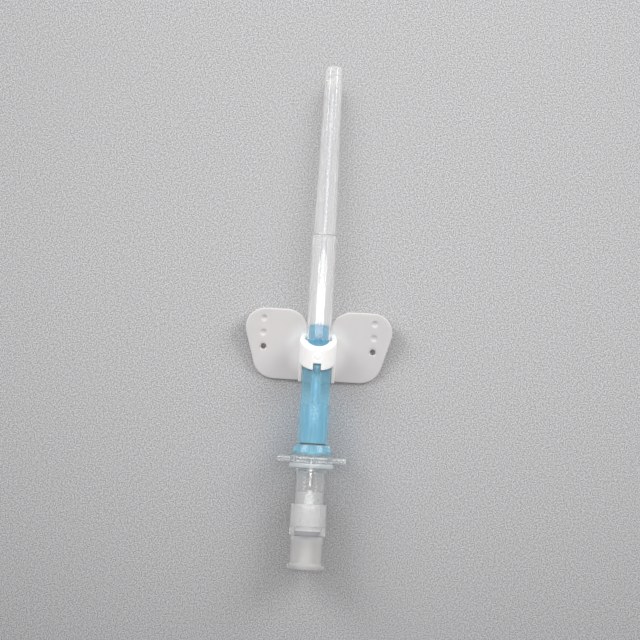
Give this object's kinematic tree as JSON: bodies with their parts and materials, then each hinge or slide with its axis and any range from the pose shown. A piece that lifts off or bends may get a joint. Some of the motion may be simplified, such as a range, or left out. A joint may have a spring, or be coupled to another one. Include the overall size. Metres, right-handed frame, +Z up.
{
  "type": "butterfly needle",
  "caption": "Winged cannula: catheter on a steel needle with butterfly wings, clear sheath, flashback chamber and vent plug, for opening a vein.",
  "frame": {"origin": "Under the middle of the whole length, on the needle's plane of symmetry, at the lowest point of the round stop disc, which is the lowest point of the part.", "axes": "+Y along the needle towards its point and the sheath's closed end, +X across the wings, +Z up. The needle's axis is level, at the stop disc's radius above the origin."},
  "size_m": [0.0302, 0.1036, 0.0093],
  "materials": {
    "needle_steel": "ground stainless steel",
    "bush_steel": "drawn stainless steel",
    "catheter_film": "soft translucent tube",
    "blue_hub": "translucent blue moulding",
    "white_wings": "soft white satin moulding",
    "clear_sheath": "clear moulding, slightly hazy",
    "clear_hub": "clear polished moulding",
    "frosted_plug": "frosted translucent moulding",
    "porous_filter": "sintered porous plastic"
  },
  "bodies": {
    "catheter_unit": {"catheter_hub": "blue_hub", "catheter_tube": "catheter_film", "catheter_bush": "bush_steel", "wing_collar": "white_wings"},
    "cover": {"protective_sheath": "clear_sheath"},
    "needle_unit": {"needle": "needle_steel", "needle_hub": "clear_hub"},
    "vent": {"vent_plug": "frosted_plug", "vent_filter": "porous_filter"},
    "left_wing": {"wing_left": "white_wings"},
    "right_wing": {"wing_right": "white_wings"}
  },
  "joints": [
    {"name": "cover_pull", "type": "slide", "parent": "catheter_unit", "child": "cover", "axis": [0, 1, 0], "range_m": [0, 0.056]},
    {"name": "needle_withdraw", "type": "slide", "parent": "catheter_unit", "child": "needle_unit", "axis": [0, -1, 0], "range_m": [0, 0.079]},
    {"name": "vent_pull", "type": "slide", "parent": "needle_unit", "child": "vent", "axis": [0, -1, 0], "range_m": [0, 0.008]},
    {"name": "left_wing_fold", "type": "hinge", "parent": "catheter_unit", "child": "left_wing", "pos_m": [-0.0043, -0.0133, 0.00109], "axis": [0, 0.9842, 0.1771], "range_deg": [0, 80], "stiffness_Nm_per_rad": 0.0002},
    {"name": "right_wing_fold", "type": "hinge", "parent": "catheter_unit", "child": "right_wing", "pos_m": [0.0043, -0.0133, 0.00109], "axis": [0, -0.9842, -0.1771], "range_deg": [0, 80], "stiffness_Nm_per_rad": 0.0002}
  ]
}
